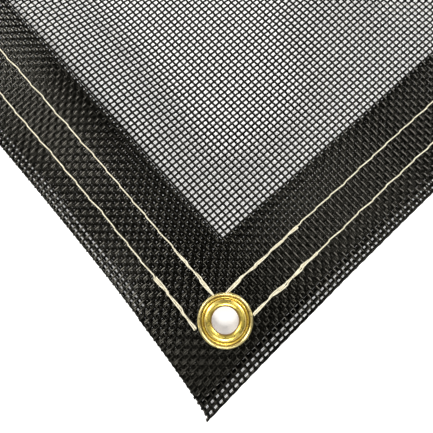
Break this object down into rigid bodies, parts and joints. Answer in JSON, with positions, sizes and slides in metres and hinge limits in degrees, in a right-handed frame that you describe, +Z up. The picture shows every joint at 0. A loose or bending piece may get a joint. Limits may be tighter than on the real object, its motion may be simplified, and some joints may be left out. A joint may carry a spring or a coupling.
{
  "type": "mesh tarp",
  "caption": "Small square mesh tarp of black vinyl-coated open weave, with a double-folded stitched hem and a brass grommet in each corner, laid out flat.",
  "frame": {"origin": "middle of the tarp, on the surface that it lies on", "axes": "+Z up; +X and +Y along its edges, with the pictured corner at -X, -Y"},
  "size_m": [0.372, 0.3688, 0.008],
  "materials": {
    "mesh": "black vinyl-coated polyester mesh, satin",
    "brass": "polished",
    "thread": "cream polyester sewing thread"
  },
  "bodies": {
    "root": {"cloth": "mesh", "eyelet_front_left": "brass", "washer_front_left": "brass", "eyelet_front_right": "brass", "washer_front_right": "brass", "eyelet_back_right": "brass", "washer_back_right": "brass", "eyelet_back_left": "brass", "washer_back_left": "brass"}
  },
  "joints": []
}
